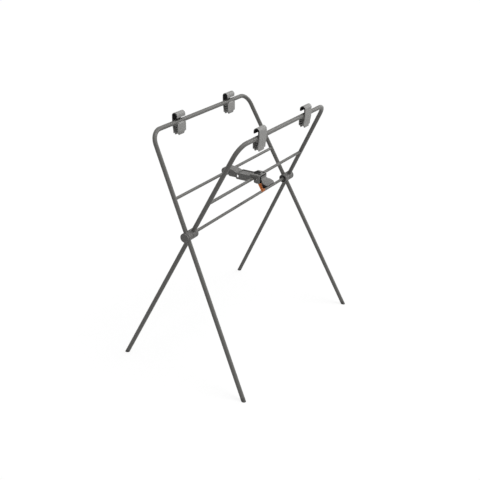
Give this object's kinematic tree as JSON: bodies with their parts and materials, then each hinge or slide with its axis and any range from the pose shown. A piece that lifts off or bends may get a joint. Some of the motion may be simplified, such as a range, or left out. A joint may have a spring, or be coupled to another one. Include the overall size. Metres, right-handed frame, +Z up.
{
  "type": "baby bath stand",
  "caption": "Folding X-frame stand of bent tube that holds a baby bath between its rails, with rim clips and a latching cross strut.",
  "frame": {"origin": "on the floor, in the middle of the four feet and straight under the pivot rod", "axes": "+Z up, +X along the rails and the pivot rod towards the right-hand hub, +Y from the latch handle's side towards the rail of the back frame"},
  "size_m": [0.8508, 0.5588, 0.907],
  "materials": {
    "frame_tube": "satin powder coat, warm dark grey",
    "hub_plastic": "satin moulded, dark grey",
    "washer": "matte, black",
    "foot_rubber": "matte, very dark grey",
    "clip_plastic": "satin moulded, mid grey",
    "clip_rubber": "matte, black",
    "strut_plastic": "satin moulded, mid grey",
    "black_plastic": "fine matte, black",
    "grip_rubber": "matte, black",
    "orange_plastic": "semi-gloss moulded, orange",
    "steel": "zinc plated"
  },
  "bodies": {
    "back_frame": {"back_rail_frame": "frame_tube", "back_crossbar": "frame_tube", "pivot_rod": "frame_tube", "left_hub_outer": "hub_plastic", "left_hub_washer": "washer", "left_hub_cap": "hub_plastic", "right_hub_inner": "hub_plastic", "right_hub_washer": "washer", "right_hub_cap": "hub_plastic", "front_left_foot": "foot_rubber", "front_right_foot": "foot_rubber", "back_left_clip_body": "clip_plastic", "back_right_clip_body": "clip_plastic"},
    "front_frame": {"front_rail_frame": "frame_tube", "front_crossbar": "frame_tube", "left_hub_inner": "hub_plastic", "right_hub_outer": "hub_plastic", "back_left_foot": "foot_rubber", "back_right_foot": "foot_rubber", "front_left_clip_body": "clip_plastic", "front_right_clip_body": "clip_plastic"},
    "strut": {"strut_clamp_top": "strut_plastic", "strut_clamp_base": "strut_plastic", "strut_clamp_screws": "steel", "strut_arm": "strut_plastic", "latch_plug": "black_plastic", "latch_handle": "strut_plastic", "handle_grip": "grip_rubber", "trigger_pin": "steel"},
    "trigger": {"release_trigger": "orange_plastic"},
    "front_left_lever": {"front_left_clip_lever": "clip_plastic", "front_left_clip_pad": "clip_rubber"},
    "front_right_lever": {"front_right_clip_lever": "clip_plastic", "front_right_clip_pad": "clip_rubber"},
    "back_left_lever": {"back_left_clip_lever": "clip_plastic", "back_left_clip_pad": "clip_rubber"},
    "back_right_lever": {"back_right_clip_lever": "clip_plastic", "back_right_clip_pad": "clip_rubber"}
  },
  "joints": [
    {"name": "fold", "type": "hinge", "parent": "back_frame", "child": "front_frame", "pos_m": [0, 0, 0.54], "axis": [-1, 0, 0], "range_deg": [0, 44]},
    {"name": "strut_swing", "type": "hinge", "parent": "back_frame", "child": "strut", "pos_m": [0, 0.05959, 0.659], "axis": [-1, 0, 0], "range_deg": [0, 105.6]},
    {"name": "trigger_squeeze", "type": "hinge", "parent": "strut", "child": "trigger", "pos_m": [0, -0.07541, 0.658], "axis": [-1, 0, 0], "range_deg": [0, 10], "stiffness_Nm_per_rad": 1.2, "springref_deg": -5.73},
    {"name": "front_left_clip", "type": "hinge", "parent": "front_frame", "child": "front_left_lever", "pos_m": [-0.162, -0.16625, 0.872], "axis": [1, 0, 0], "range_deg": [0, 10], "stiffness_Nm_per_rad": 1.5, "springref_deg": -8.59},
    {"name": "front_right_clip", "type": "hinge", "parent": "front_frame", "child": "front_right_lever", "pos_m": [0.162, -0.16625, 0.872], "axis": [1, 0, 0], "range_deg": [0, 10], "stiffness_Nm_per_rad": 1.5, "springref_deg": -8.59},
    {"name": "back_left_clip", "type": "hinge", "parent": "back_frame", "child": "back_left_lever", "pos_m": [-0.162, 0.16625, 0.872], "axis": [-1, 0, 0], "range_deg": [0, 10], "stiffness_Nm_per_rad": 1.5, "springref_deg": -8.59},
    {"name": "back_right_clip", "type": "hinge", "parent": "back_frame", "child": "back_right_lever", "pos_m": [0.162, 0.16625, 0.872], "axis": [-1, 0, 0], "range_deg": [0, 10], "stiffness_Nm_per_rad": 1.5, "springref_deg": -8.59}
  ],
  "couplings": [
    {"joint": "strut_swing", "follows": "fold", "ratio": 2.4}
  ]
}
